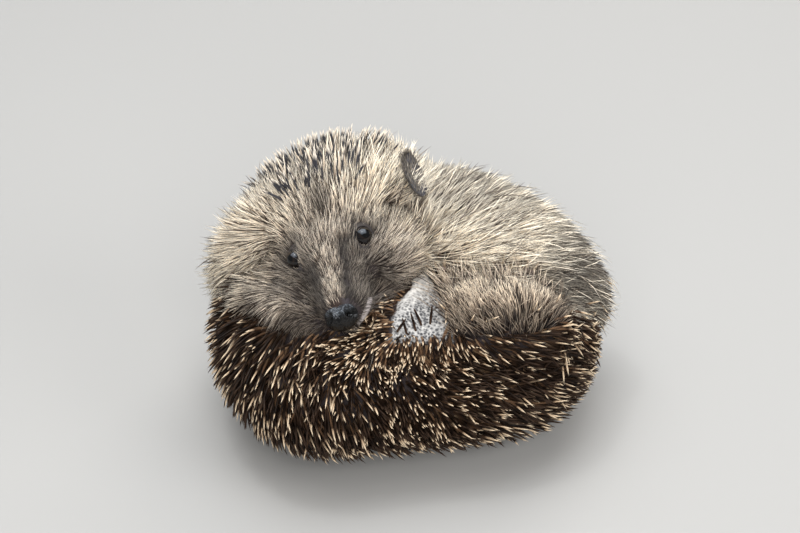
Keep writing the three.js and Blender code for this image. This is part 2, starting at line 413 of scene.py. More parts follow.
# %% [markdown]
# ## How deep the coat is
#
# The skin is not a shrunken copy of the outline: fur by the nose is a millimetre deep, on the brow
# six, and the coat of spines more than eight. So each mass is sunk by a depth that changes from place
# to place. Round the eyes, on the chin and at the bare patch the skin comes up to the light.

# %% Coat depths
EYE_SPREAD = 11.4
SPINE_DEPTH, CHIN_DEPTH, BARE_DEPTH = 8.5, 4.5, 2.6
SNOUT_DEPTH, RUFF_DEPTH, ROLL_DEPTH = 0.9, 8.5, 5.2
LID_DEPTH, LIMB_DEPTH = 0.8, 0.6
nose_middle = on_head(NOSE_AHEAD, NOSE_LEFT, NOSE_UP)


def off_eyes(p):
    """Distance to the nearer eye, in millimetres."""
    ahead, to_left, up = in_head(p)
    return np.sqrt(ahead**2 + (np.abs(to_left) - EYE_SPREAD) ** 2 + up**2)


def from_nose(p):
    """Distance to the nose, in millimetres."""
    return np.linalg.norm(p - nose_middle, axis=-1) / MM


def sunk(mass, depth):
    """The mass with its surface moved in by a depth, in millimetres, that changes with place."""
    return lambda p: mass(p) + MM * depth(p)


def fur_depth(p):
    """Grows with the distance from the nose, over the cheeks and the brow to the ruff and the
    flank, and is least round the eyes."""
    depth = SNOUT_DEPTH + (RUFF_DEPTH - SNOUT_DEPTH) * ease(from_nose(p), 12, 64)
    return depth - (depth - LID_DEPTH) * bell(off_eyes(p), 5.5)


def raised(p):
    """1 where the back is bent most and the spines stand up, 0 away from there."""
    return near(p, plan(0, -38, 31), 19, 2)


def mantle_depth(p):
    depth = SPINE_DEPTH - 2.0 * raised(p)
    depth = depth + (CHIN_DEPTH - depth) * chin(p)
    return depth + (BARE_DEPTH - depth) * ease(patch_depth(p), -4, 1)


BODY = {  # each mass, the depth of its coat, and a place inside it from which every ray leaves it once
    "head": (head_mass, fur_depth, on_head(-8, 0, -8)),
    "neck": (neck_mass, fur_depth, on_head(-24, -4, -16)),
    "mantle": (mantle_mass, mantle_depth, MANTLE_MIDDLE),
    "left_flank": (left_flank_mass, fur_depth, FLANK_MIDDLE),
    "right_flank": (right_flank_mass, lambda p: ROLL_DEPTH, ROLL_MIDDLE),
}
flesh = {name: (sunk(mass, depth), middle) for name, (mass, depth, middle) in BODY.items()}
for name, (start, end, start_radius, end_radius) in LIMBS.items():
    limb = round_cone(start, end, start_radius, end_radius)
    flesh[name] = (sunk(limb, lambda p: LIMB_DEPTH), (start + end) / 2)

# %% [markdown]
# ## The skin
#
# Each mass is round enough that every ray from its middle meets the surface once. So it is a
# surface of two parameters, the ray's angles, and its radius is found by halving a stretch of the
# ray again and again. The shells overlap, and a voxel remesh fuses them into one skin with no seam.

# %% One shell a mass
RAY_REACH = 120 * MM
HALVINGS = 26
SHELL_ROWS, SHELL_COLUMNS = 90, 180


def round_angles(count):
    return np.linspace(0, 2 * np.pi, count, endpoint=False)


def ray_directions(rows, columns):
    """Unit rays over the ball: the angle from the last axis goes down the rows, and the angle round
    it along the columns."""
    down, round_it = np.linspace(np.pi, 0, rows)[:, None], round_angles(columns)[None, :]
    rays = [np.sin(down) * np.cos(round_it), np.sin(down) * np.sin(round_it), np.cos(down) + 0 * round_it]
    return np.stack(rays, -1)


def shell_of(form, centre):
    """Where each ray from the centre leaves the form."""
    rays = ray_directions(SHELL_ROWS, SHELL_COLUMNS)
    inside, outside = np.zeros(rays.shape[:2]), np.full(rays.shape[:2], RAY_REACH)
    for _ in range(HALVINGS):
        middle = (inside + outside) / 2
        within = form(centre + middle[..., None] * rays) < 0
        inside, outside = np.where(within, middle, inside), np.where(within, outside, middle)
    return closed_ball(centre + inside[..., None] * rays)


skin = joined("skin", [shell_of(*mass) for mass in flesh.values()])
print("shells:", len(flesh), "points:", len(skin.vertices))

# %% Fused by a remesh, then softened
SKIN_GRAIN = 0.85 * MM
SKIN_SOFTENING = 11


def fused(mesh, grain, softening):
    """The mesh remade as one closed skin of small even quads, then eased by a smoothing modifier."""
    maker = in_scene("maker", mesh)
    remesh = maker.modifiers.new("remesh", "REMESH")
    remesh.mode, remesh.voxel_size = "VOXEL", grain
    smooth = maker.modifiers.new("smooth", "SMOOTH")
    smooth.factor, smooth.iterations = 0.5, softening
    made = bpy.data.meshes.new_from_object(maker.evaluated_get(bpy.context.evaluated_depsgraph_get()))
    bpy.data.objects.remove(maker)
    made.shade_smooth()
    return made


skin = fused(skin, SKIN_GRAIN, SKIN_SOFTENING)
skin.name = "skin"
print("skin faces:", len(skin.polygons))


def read_mesh(mesh):
    """Points, their normals, and the corners of the faces as triangles, each with three to a row."""
    mesh.calc_loop_triangles()
    read = []
    for rows, attribute, kind in (
            (mesh.vertices, "co", np.float32), (mesh.vertex_normals, "vector", np.float32),
            (mesh.loop_triangles, "vertices", np.int32)):
        values = np.empty(len(rows) * 3, kind)
        rows.foreach_get(attribute, values)
        read.append(values.reshape(-1, 3).astype(float if kind is np.float32 else kind))
    return read


skin_points, skin_normals, skin_triangles = read_mesh(skin)

# %% [markdown]
# ## Where spines, fur and bare skin grow
#
# The markings are worked out once, as numbers from 0 to 1 at any place, and both the skin and the
# coat read them. Which mass a place belongs to is a soft choice: the nearer a mass's surface, the
# larger its share.

# %% Shares of the masses
SHARE_WIDTH = 2.0 * MM


def shares(p):
    """For each mass of the body exp(-distance / width), divided by the sum of them all."""
    far = np.stack([flesh[name][0](p) for name in BODY], -1)
    weight = np.exp(-(far - far.min(-1, keepdims=True)) / SHARE_WIDTH)
    weight = weight / weight.sum(-1, keepdims=True)
    return {name: weight[..., i] for i, name in enumerate(BODY)}


def limb_share(p):
    """1 on the legs and the tail, 0 away from them."""
    return fall(np.min([flesh[name][0](p) for name in LIMBS], axis=0) / MM, 0.3, 2.0)


# %% Markings, and a painted shade on the left flank


def spiny(p, lowered=0.0):
    """How spiny a place is: the mantle under its rim, the back of the neck behind the ears, and the
    far side of the left flank. The fur line crosses the crown and drops back at the sides. lowered
    moves the rim down."""
    part = shares(p)
    ahead, to_left, up = in_head(p)
    behind = -ahead - 17.5 - 17 * ease(np.abs(to_left - 2), 8, 24) - 7 * ease(-up, -4, 14)
    nape = np.maximum(ease(behind, -3, 3), ease(on_plan(p)[1], 26, 34))
    below = under_rim(p, lowered)
    far_side = ease(-(p - FLANK_MIDDLE) @ to_camera / MM, 3, 8)
    return (part["mantle"] * below + part["head"] * nape + part["left_flank"] * far_side
            + part["neck"] * np.maximum(nape, below * at_front(p))
            + part["right_flank"] * below * at_front(p))


def above_rim(p):
    return tipped_height(p) - rim_height(on_plan(p)[0])


def jaw(p):
    """1 on the short fur just above the rim, under the right cheek and the nose."""
    x = on_plan(p)[0]
    return at_front(p) * fall(above_rim(p), 2, 8) * fall(x, -22, -12) * ease(x, -54, -42)


def most(*markings):
    """The strongest of several markings, at most 1."""
    return np.clip(np.maximum.reduce(markings), 0, 1)


def mask_and_painted_shade(p):
    """How dark grey a place is: the mask of the face, which runs round each eye, down both sides of the
    snout and over the cheek's foot, with a streak on the brow and a paler bridge between; and, more
    weakly, the top of the head, the jaw, the skin fold behind the roll, and the roll's foot. The top and
    the far end of the left flank are greyed too, as a painted shade."""
    ahead, to_left, up = in_head(p)
    off_bridge = np.abs(to_left + 0.5) - 0.1 * (SNOUT_LENGTH - ahead)
    on_left = to_left > -0.5
    stripe = ease(off_bridge, 0.3, 2.6) * np.where(
        on_left, ease(ahead, 0, 6) * fall(off_bridge, 3.0, 7.5),
        0.95 * ease(ahead, 2, 9) * fall(off_bridge, 3.4, 11))
    beside = ease(ahead, 1, 8) * ease(off_bridge, 0.6, 2.2) * np.where(
        on_left, 0.75 * fall(off_bridge, 10, 16), 0.66 * fall(off_bridge, 9, 14))
    cheek = 0.68 * ease(ahead, -4, 6) * ease(-up, 4, 11) * fall(np.abs(to_left), 10, 17)
    streak = 0.75 * bell(to_left - 1.2, 2) * ease(-ahead, 3, 7) * fall(-ahead, 16, 22)
    top = 0.42 * ease(-ahead, 11, 19) * ease(up, -6, 2) * bell(to_left + 2, 12, 4)
    top_of_snout = 0.15 * ease(ahead, 2, 8) * fall(off_bridge, 0, 2)
    x, _, z = on_plan(p)
    part = shares(p)
    # painted shade: the top of the left flank and its far end are greyed as if in shadow
    flank = part["left_flank"] * np.maximum(0.6 * ease(z, 62, 74), 0.85 * ease(x, 32, 46))
    return most(
        0.7 * fall(off_eyes(p), 3.5, 7.5), stripe, beside, cheek, streak, top, top_of_snout, flank,
        0.9 * near(p, plan(46, 7, 53), 14), 0.7 * part["right_flank"] * fall(above_rim(p), 0, 5),
        0.3 * near(p, centre_of("ear_left"), 5.5), 0.74 * jaw(p))


def brown(p):
    """The warm brown of the chin, the jaw and the foot of the roll, weak on the left cheek and at
    the right end of the neck."""
    part = shares(p)
    x = on_plan(p)[0]
    return most(
        0.08 * near(p, on_head(6, 20, -14), 13), 0.1 * part["neck"] * (x < -30),
        0.7 * part["mantle"] * chin(p) * ease(x, -18, -8),
        0.6 * part["right_flank"] * fall(above_rim(p), 1, 8), 0.4 * jaw(p))


# %% [markdown]
# ## The lie of the coat
#
# Fur leans away from the nose all over the head, but down and outwards on the right cheek, away
# from the throat over the left flank, and up from the spines over the right roll, as the skirt of a
# hedgehog hangs towards its belly. Spines lean back from the crown, then along the body to the rump,
# and part under the chin. Each place mixes these by the shares of its masses, and the mixture is
# laid flat on the skin.

# %% Lean of the coat
NOSE_SOURCE = on_head(26, NOSE_LEFT, -4)
CHEEK_SOURCE = on_head(2, -8, 10)
THROAT_SOURCE = plan(-13, -10, 58)
CROWN_SOURCE = plan(-34, 20, 74)
PATCH_SOURCE = plan(9, -14, 64)


def by_throat(p):
    """1 on the mantle between the chin and the foot of the bare patch, fading 8 to 26 mm under the rim."""
    x = on_plan(p)[0]
    near_rim = fall(rim_height(np.minimum(x, -12)) - tipped_height(p), 8, 26)
    return at_front(p) * ease(x, -34, -16) * fall(x, 12, 24) * near_rim


def along_normal(directions, normals):
    """The part of each direction that points out of the skin."""
    return (directions * normals).sum(-1, keepdims=True)


def swung(angle):
    """The direction up the tipped plane, swung towards the rump by an angle."""
    return np.sin(angle) * np.array([1.0, 0, 0]) + np.cos(angle) * np.array([0, np.sin(TIP), np.cos(TIP)])


def lean(p, normals, spines=False):
    """Unit directions along the skin in which the coat lies. Under the rim spines lie along the
    body, while the hair among them still stands up."""
    part = shares(p)
    x = on_plan(p)[0]
    back, parted = ease(x, -8, 18)[..., None], by_throat(p)[..., None]
    mantle = unit(p - CROWN_SOURCE) * (1 - back) + np.array([1.0, -0.12, -0.25]) * back
    mantle = mantle * (1 - parted) + unit(p - PATCH_SOURCE) * parted
    on_chin, below = chin(p)[..., None], under_rim(p)[..., None] * spines
    _, to_left, up = in_head(p)
    on_right_cheek = (ease(-to_left, 7, 17) * ease(-up, -2, 8))[..., None]
    off_nose = unit(unit(p - NOSE_SOURCE) * (1 - on_right_cheek) + unit(p - CHEEK_SOURCE) * on_right_cheek)
    fan = swung(np.radians(-32 + 40 * ease(x, 30, 42) + 45 * ease(x, 42, 54))[..., None])
    facing = np.maximum(along_normal(normals, to_camera), 0.35)
    fan = unit(fan - to_camera * along_normal(fan, normals) / facing)
    flows = {
        "head": off_nose,
        "neck": off_nose,
        "left_flank": unit(p - THROAT_SOURCE) - 0.45 * ease(x, 22, 62)[..., None] * np.array([0, 0.3, 1.0]),
        "right_flank": fan * (1 - below) + mantle * below,
        "mantle": mantle * (1 - on_chin) + off_nose * on_chin,
    }
    mixture = sum(part[name][..., None] * flows[name] for name in BODY)
    return unit(mixture - along_normal(mixture, normals) * normals)


def coat_depth(p):
    """The depth of the coat in millimetres: each mass's own depth, by the shares of the masses."""
    part = shares(p)
    return sum(part[name] * depth(p) for name, (_, depth, _) in BODY.items())


# %% [markdown]
# ## Roots and strands
#
# A coat could be a particle system, but that is lost on export, so each spine and hair is a thin
# closed prism in one joined mesh. Roots are drawn at random over the skin, more where a weight is
# higher. A strand's middle line starts in one direction and ends in another, and rings of a few
# points are carried along it. A kind of strand is its stations, from 0 at the root to 1 at the tip,
# its swell, which is places along it and shares of its full thickness there, and its sides.

# %% Drawing roots


def doubled_areas(ground):
    """Twice the area of each triangle of the ground, which is points, normals and triangles."""
    points, _, triangles = ground
    a, b, c = (points[triangles[:, i]] for i in range(3))
    return np.linalg.norm(np.cross(b - a, c - a), axis=-1)


def draw_roots(rng, ground, count, weight, thin=0.0):
    """About count roots over the ground's triangles, as likely as area times weight at the corners.
    With thin, in mm, at most one root is kept in each cube of about that size, which spreads them
    out; the cubes are smaller where the back is bent most and under the chin."""
    points, normals, triangles = ground
    chance = doubled_areas(ground) * weight[triangles].mean(-1)
    corners = triangles[rng.choice(len(chance), count, p=chance / chance.sum())]
    u, v = rng.random(count), rng.random(count)
    over = u + v > 1
    u, v = np.where(over, 1 - u, u), np.where(over, 1 - v, v)
    mix = np.stack([1 - u - v, u, v], -1)[..., None]
    roots = (points[corners] * mix).sum(1)
    out = unit((normals[corners] * mix).sum(1))
    if thin:
        cubes = thin * MM * (1 - 0.2 * np.maximum(raised(roots), by_throat(roots)))[:, None]
        kept = np.unique(np.floor(roots / cubes).astype(int), axis=0, return_index=True)[1]
        roots, out = roots[np.sort(kept)], out[np.sort(kept)]
    return roots, out


WAVES = 14


def drift(rng, places, scale):
    """A smooth random vector at each place: a sum of sine waves, about scale mm long, in random
    directions. Neighbouring strands get nearly the same one, which gathers them into locks."""
    waves = unit(rng.normal(size=(WAVES, 3))) * rng.uniform(0.7, 1.5, (WAVES, 1)) * 2 * np.pi / (scale * MM)
    push = rng.normal(size=(WAVES, 3)) / np.sqrt(WAVES / 2)
    return np.sin(places @ waves.T + rng.uniform(0, 2 * np.pi, WAVES)) @ push


# %% Strands as joined prisms
FLOOR_ROOM = 0.06 * MM


def strand_rings(kind, roots, start, end, length, thickness):
    """Points of all strands. At station t the middle line is root + length (t start + t² (end -
    start) / 2), and a ring of radius thickness / 2 times the swell stands square to it. The last
    station is the tip, one point."""
    stations, swell, sides = kind
    t = stations[None, :, None]
    start, turn = start[:, None], (end - start)[:, None]
    middle = roots[:, None] + length[:, None, None] * (t * start + t * t * turn / 2)
    middle[..., 2] = np.maximum(middle[..., 2], FLOOR_ROOM + thickness[:, None] / 2)
    heading = unit(start + t * turn)
    side = unit(np.cross(heading, np.array([0.31, 0.17, 0.93])))
    other = np.cross(heading, side)
    angle = round_angles(sides)
    ring = np.cos(angle)[:, None] * side[:, :-1, None] + np.sin(angle)[:, None] * other[:, :-1, None]
    radius = thickness[:, None] / 2 * np.interp(stations[:-1], *swell)[None]
    rings = middle[:, :-1, None] + radius[..., None, None] * ring
    return np.concatenate([rings.reshape(len(roots), -1, 3), middle[:, -1:]], 1)


CUTS, CUT = 12, 0.9


def kept_within(roots, start, end, length, room):
    """Lengths, in millimetres, cut down step by step until no tip is more than room outside the
    masses of the body. The tip is root + length (start + end) / 2."""
    for _ in range(CUTS):
        tips = roots + (length * MM)[:, None] * (start + end) / 2
        outside = np.min([mass(tips) for mass, _, _ in BODY.values()], axis=0) / MM
        length = np.where(outside > room, CUT * length, length)
    return length


def strand_corners(count, rings, sides):
    """Faces of all strands: quads between rings, a fan at the tip, and a cap at the root."""
    one = rings * sides + 1
    ring = np.arange(sides)
    top = (rings - 1) * sides
    fan = np.stack([top + ring, top + (ring + 1) % sides, np.full(sides, one - 1)], -1)
    step = (np.arange(count) * one)[:, None, None]
    return [(faces[None] + step).reshape(-1, faces.shape[1])
            for faces in (grid_corners(rings, sides), fan, ring[::-1][None])]


UNWRAP_PATCH = 0.003


def coat_mesh(name, kind, roots, start, end, length, thickness, centre, per_strand):
    """A joined mesh of strands, with the numbers its material reads, and its bake map: each strand
    is a small patch at its root's place on the skin unwrapped as a ball round the centre."""
    stations, sides = np.asarray(kind[0], float), kind[2]
    rings = len(stations) - 1
    points = strand_rings((stations, *kind[1:]), roots, start, end, length, thickness)
    mesh = as_mesh(name, points.reshape(-1, 3), *strand_corners(len(roots), rings, sides))
    along = np.append(np.repeat(stations[:-1], sides), 1)
    across = np.append(np.tile(np.linspace(-0.5, 0.5, sides), rings), 0)
    out = unit(roots - centre)
    root_uv = np.stack([np.arctan2(out[:, 1], out[:, 0]) / (2 * np.pi) + 0.5, out[:, 2] / 2 + 0.5], -1)
    root_uv = UNWRAP_PATCH + root_uv * (1 - 2 * UNWRAP_PATCH)
    patch = UNWRAP_PATCH * np.stack([across, along - 0.5], -1)
    bake_map(mesh, (root_uv[:, None] + patch[None]).reshape(-1, 2))
    give(mesh, "along", np.tile(along, len(roots)))
    for attribute, values in per_strand.items():
        give(mesh, attribute, np.repeat(values, len(along)))
    return mesh


# %% [markdown]
# ## Finishes
#
# The materials are worked out from nodes. A strand's colour changes from root to tip, by the number
# along, and from strand to strand, by the number shade; tone darkens whole regions such as the mask,
# and lays a painted shade over the top and far end of the left flank.

# %% Small helpers for node materials


def new_material(name, roughness, specular):
    """A material with one Principled shader, whose gloss is set on its own sockets."""
    material = bpy.data.materials.new(name)
    material.use_nodes = True
    shader = material.node_tree.nodes["Principled BSDF"]
    shader.inputs["Roughness"].default_value = roughness
    shader.inputs["Specular IOR Level"].default_value = specular
    return material, material.node_tree, shader


def paint(tree, shader, colour):
    tree.links.new(colour, shader.inputs["Base Color"])


def number(tree, name):
    node = tree.nodes.new("ShaderNodeAttribute")
    node.attribute_name = name
    return node.outputs["Fac"]


def colour_ramp(tree, source, *stops):
    """Colours set along a number: each stop is a place from 0 to 1 and a colour."""
    node = tree.nodes.new("ShaderNodeValToRGB")
    elements = node.color_ramp.elements
    elements[0].position, elements[0].color = stops[0][0], (*stops[0][1], 1)
    elements[1].position, elements[1].color = stops[-1][0], (*stops[-1][1], 1)
    for place, colour in stops[1:-1]:
        elements.new(place).color = (*colour, 1)
    tree.links.new(source, node.inputs["Fac"])
    return node.outputs["Color"]


def rising(tree, source, low, high):
    """Black below low, white above high."""
    return colour_ramp(tree, source, (low, (0, 0, 0)), (high, (1, 1, 1)))


def mixed(tree, share, first, second, how="MIX"):
    """Two colours mixed by a share: sockets, or plain colours."""
    node = tree.nodes.new("ShaderNodeMix")
    node.data_type = "RGBA"
    node.blend_type = how
    for socket, value in ((node.inputs[0], share), (node.inputs[6], first), (node.inputs[7], second)):
        if isinstance(value, bpy.types.NodeSocket):
            tree.links.new(value, socket)
        else:
            socket.default_value = (*value, 1) if isinstance(value, tuple) else value
    return node.outputs[2]


def times(tree, first, second):
    return mixed(tree, 1.0, first, second, "MULTIPLY")


def texture(tree, kind, scale, output, **settings):
    """A texture on object coordinates, in metres, with scale waves or cells a millimetre."""
    place = tree.nodes.new("ShaderNodeTexCoord")
    node = tree.nodes.new(kind)
    node.inputs["Scale"].default_value = scale / MM
    for socket, value in settings.items():
        node.inputs[socket].default_value = value
    tree.links.new(place.outputs["Object"], node.inputs["Vector"])
    return node.outputs[output]


def noise(tree, scale, detail):
    return texture(tree, "ShaderNodeTexNoise", scale, "Fac", Detail=detail)


def cells(tree, scale):
    return texture(tree, "ShaderNodeTexVoronoi", scale, "Distance")


def bumped(tree, shader, height, distance, strength=1.0):
    """Shades the surface as if height, from 0 to 1, stood out by a distance in millimetres."""
    node = tree.nodes.new("ShaderNodeBump")
    node.inputs["Distance"].default_value = distance * MM
    node.inputs["Strength"].default_value = strength
    tree.links.new(height, node.inputs["Height"])
    tree.links.new(node.outputs["Normal"], shader.inputs["Normal"])


def mottled(name, roughness, specular, patches, low, high, grain, depth, strength=0.8):
    """Bare skin or horn: its colour wanders from low to high in soft patches, patches of them a
    millimetre, over a finer grain of bumps."""
    material, tree, shader = new_material(name, roughness, specular)
    paint(tree, shader, colour_ramp(tree, noise(tree, patches, 4), (0.3, low), (0.7, high)))
    bumped(tree, shader, noise(tree, grain, 5), depth, strength)
    return material


# %% Fur and spine materials


def fur_material():
    """Pale hairs among dark ones, each dark at its root. shade picks which, and how bright; far turns the
    dull short fur of the face into the pale long fur of the ruff and the flanks, tone turns it grey,
    for the face's mask and for a painted shade on the left flank, and brown warms it."""
    material, tree, shader = new_material("coat_fur", 0.5, 0.35)
    shade, far = number(tree, "shade"), number(tree, "far")
    # Where rooted is 1 the dark foot of each hair is longer.
    shift = tree.nodes.new("ShaderNodeMath")
    shift.operation = "MULTIPLY_ADD"
    shift.inputs[1].default_value = -0.36
    tree.links.new(number(tree, "rooted"), shift.inputs[0])
    tree.links.new(number(tree, "along"), shift.inputs[2])
    along = shift.outputs[0]
    near_pale = colour_ramp(tree, along, (0.0, (0.035, 0.03, 0.027)), (0.3, (0.26, 0.205, 0.165)),
                            (0.72, (0.88, 0.765, 0.63)), (1.0, (1.0, 0.92, 0.81)))
    far_pale = colour_ramp(tree, along, (0.0, (0.065, 0.05, 0.041)), (0.2, (0.46, 0.375, 0.3)),
                           (0.5, (0.95, 0.83, 0.665)), (1.0, (1.0, 0.94, 0.81)))
    near_dark = colour_ramp(tree, along, (0.0, (0.022, 0.018, 0.016)), (1.0, (0.14, 0.103, 0.08)))
    far_dark = colour_ramp(tree, along, (0.0, (0.03, 0.024, 0.02)), (1.0, (0.24, 0.185, 0.145)))
    pale, dark = mixed(tree, far, near_pale, far_pale), mixed(tree, far, near_dark, far_dark)
    hair = mixed(tree, rising(tree, shade, 0.24, 0.34), dark, pale)
    warm = times(tree, hair, (0.6, 0.5, 0.42))
    hair = mixed(tree, number(tree, "brown"), hair, warm)
    bright = colour_ramp(tree, shade, (0.25, (0.52, 0.52, 0.52)), (0.9, (1.25, 1.23, 1.2)))
    hair = times(tree, hair, bright)
    # tone mixes towards this dark grey: the face's mask, and a painted shade on the left flank
    mask_and_painted_shade_grey = mixed(tree, 0.1, (0.03, 0.026, 0.025), hair)
    paint(tree, shader, mixed(tree, number(tree, "tone"), hair, mask_and_painted_shade_grey))
    return material


def spine_material():
    """A spine is brown at the root, dark for most of its length, and cream at the tip. Some are
    plain dark and some have a brown shaft, picked by shade."""
    material, tree, shader = new_material("spine_horn", 0.42, 0.14)
    along, shade = number(tree, "along"), number(tree, "shade")
    dark = colour_ramp(
        tree, along, (0.05, (0.22, 0.155, 0.1)), (0.25, (0.017, 0.01, 0.006)),
        (0.83, (0.006, 0.0036, 0.0026)), (0.89, (0.5, 0.37, 0.24)), (1.0, (0.86, 0.73, 0.55)))
    brown_one = colour_ramp(
        tree, along, (0.05, (0.24, 0.16, 0.095)), (0.4, (0.15, 0.084, 0.046)),
        (0.64, (0.044, 0.024, 0.014)), (0.72, (0.43, 0.3, 0.19)), (1.0, (0.84, 0.7, 0.51)))
    plain = colour_ramp(
        tree, along, (0.1, (0.06, 0.034, 0.021)), (0.6, (0.007, 0.0042, 0.0031)),
        (1.0, (0.046, 0.027, 0.017)))
    banded = mixed(tree, rising(tree, shade, 0.74, 0.92), dark, brown_one)
    banded = mixed(tree, rising(tree, shade, 0.62, 0.66), plain, banded)
    # On the crown most are slate grey with a pale tip, and some are pale for their outer half.
    slate = colour_ramp(
        tree, along, (0.1, (0.1, 0.085, 0.075)), (0.4, (0.05, 0.047, 0.05)),
        (0.78, (0.04, 0.04, 0.046)), (0.92, (0.7, 0.62, 0.52)))
    sandy = colour_ramp(
        tree, along, (0.1, (0.12, 0.09, 0.07)), (0.4, (0.26, 0.2, 0.15)), (0.6, (0.57, 0.465, 0.355)),
        (1.0, (0.88, 0.775, 0.63)))
    crowned = mixed(tree, rising(tree, shade, 0.76, 0.88), slate, sandy)
    paint(tree, shader, mixed(tree, number(tree, "crowned"), banded, crowned))
    return material


spine_horn = spine_material()
fur = fur_material()


def skin_material():
    """Skin under the coat is painted near black, a painted shade that lets the gaps between hairs and
    spines read as shadow, and grey on the mask. The bare patch is white, with blue-black specks from a
    cell texture that thicken towards its foot; inside tells how far in a place is."""
    material, tree, shader = new_material("skin", 0.6, 0.3)
    inside, dark_part, low = number(tree, "inside"), number(tree, "tone"), number(tree, "low")
    blotch = noise(tree, 0.5, 4)
    # painted shade: near-black skin under the coat, so the gaps in the coat read as shadow
    under = colour_ramp(tree, blotch, (0.3, (0.015, 0.009, 0.007)), (0.7, (0.038, 0.023, 0.016)))
    under = mixed(tree, dark_part, under, (0.036, 0.03, 0.033))
    edge = noise(tree, 0.6, 3)
    within = mixed(tree, 0.12, inside, edge)
    specks = mixed(tree, 0.45, cells(tree, 1.05), noise(tree, 1.9, 3))
    white = colour_ramp(tree, edge, (0.35, (0.5, 0.48, 0.455)), (0.6, (0.73, 0.7, 0.65)))
    sparse = colour_ramp(tree, specks, (0.24, (0.22, 0.23, 0.26)), (0.36, (1, 1, 1)))
    dense = colour_ramp(tree, specks, (0.36, (0.08, 0.085, 0.1)), (0.66, (0.72, 0.73, 0.75)))
    speckled = times(tree, white, mixed(tree, low, sparse, dense))
    paint(tree, shader, mixed(tree, rising(tree, within, 0.47, 0.53), under, speckled))
    bumped(tree, shader, noise(tree, 2.2, 5), 0.25, 0.7)
    return material


skin_look = skin_material()

# %% The skin takes its markings
skin_x, skin_tipped = on_plan(skin_points)[0], tipped_height(skin_points)
patch = patch_depth(skin_points) + 0.6 * drift(np.random.default_rng(3), skin_points, 5)[:, 0]
give(skin, "inside", np.clip(0.5 + patch / 12, 0, 1))
give(skin, "low", ease(PEAK_HEIGHT - skin_tipped + 0.4 * skin_x, 5, 18))
give(skin, "tone", mask_and_painted_shade(skin_points))
place_piece(
    skin, skin_look, "head", "snout", "neck", "flank_left", "flank_right", "shoulders", "trunk", "rump",
    "leg_front_left", "leg_front_right", "leg_hind_left", "leg_hind_right", "tail", slot="bare_skin")

# %% [markdown]
# ## Spines
#
# A spine is a stiff, slightly bent spindle, narrow at the root and sharp at the tip. A curled
# animal half raises them. They stand nearly straight up where the back is bent most, and lie along
# the body towards the rump. Their length follows from the depth of the coat and their slant.

# %% Spines
SPINE = ((0, 0.07, 0.45, 0.86, 1), ((0, 0.07, 0.45, 0.86, 1), (0.45, 0.8, 1.0, 0.62, 0)), 5)
SPINE_SUNK = 0.6 * MM
SPINES_DRAWN, SPINE_SPACING, SPINE_THICKNESS = 14000, 1.72, 0.86
SHORTEST_SPINE, LONGEST_SPINE = 7.0, 17.0
ground = (skin_points, skin_normals, skin_triangles)


def spine_lift(p):
    """Normal part over sideways part of a spine's direction."""
    return 0.48 + 1.6 * raised(p) - 0.08 * ease(on_plan(p)[0], 10, 26) * (1 - raised(p))


def grow_spines(name, seed, weight, room, longer=1.0, erect=0.0):
    """Spines over the skin, as long as depth of the coat over the sine of their mean slant."""
    rng = np.random.default_rng(seed)
    roots, normals = draw_roots(rng, ground, SPINES_DRAWN, weight, SPINE_SPACING)
    flow = lean(roots, normals, spines=True)
    stray = 0.2 * drift(rng, roots, 10) + 0.22 * rng.normal(size=roots.shape)
    low = ease(-normals[:, 2], 0.35, 0.8)  # pressed flat under the body
    lift = (spine_lift(roots) * (1 - 0.8 * low) + erect)[:, None]
    throat = by_throat(roots)
    start = unit(1.15 * lift * normals + (1 - 0.3 * np.minimum(lift, 1)) * flow + stray)
    end = unit(0.8 * lift * normals + flow + stray)
    slant = along_normal(start + end, normals)[:, 0] / 2
    length = np.clip(longer * coat_depth(roots) / np.maximum(slant, 0.3), SHORTEST_SPINE, LONGEST_SPINE)
    length = kept_within(roots, start, end, length * rng.uniform(0.85, 1.1, len(roots)), room)
    length = length * (1 - 0.25 * throat)
    thick = SPINE_THICKNESS * rng.uniform(0.85, 1.15, len(roots)) * (1 - 0.15 * throat) * MM
    shade = np.clip(rng.random(len(roots)) + 0.4 * throat, 0, 1)
    return spine_mesh(name, roots, normals, start, end, length * MM, thick,
                      {"shade": shade, "crowned": ease(on_plan(roots)[2], 60, 72)})


def spine_mesh(name, roots, normals, start, end, length, thickness, per_strand):
    return coat_mesh(name, SPINE, roots - SPINE_SUNK * normals, start, end, length, thickness,
                     MANTLE_MIDDLE, per_strand)


off_patch = patch + 2.4 * ease(skin_tipped, 38, 44) - 3.2 * fall(skin_tipped, 25, 31)
spine_share = ease(spiny(skin_points), 0.2, 0.55) * fall(off_patch, -1.6, 0.6)
on_crown = in_head(skin_points)[2] > -6
crowd = 1 + 0.8 * raised(skin_points) + 1.2 * by_throat(skin_points)
under = spine_share * ~on_crown
for name, seed, where, growth in (
        ("spines_head_end", 11, under * (skin_x < -10) * crowd, {"room": 2.2}),
        ("spines_middle", 15, under * (skin_x >= -10) * (skin_x < 16) * crowd, {"room": 2.2}),
        ("spines_rump_end", 12, under * (skin_x >= 16) * crowd, {"room": 2.2}),
        ("spines_crown", 14, spine_share * on_crown, {"room": 4.2, "longer": 1.9, "erect": 0.35})):
    spines = grow_spines(name, seed, where, **growth)
    place_piece(spines, spine_horn, slot="spines")
    print(spines.name, "faces", len(spines.polygons))

# %% Five short dark spines stand alone on the foot of the bare patch
LONE_SPINES = [(7.6, 30.6, 0), (5.2, 30.4, -40), (3.2, 28.6, -28), (0.3, 27.6, -28), (-3.0, 28.2, 38)]
LONE_SPINE_THICKNESS = 0.98 * MM


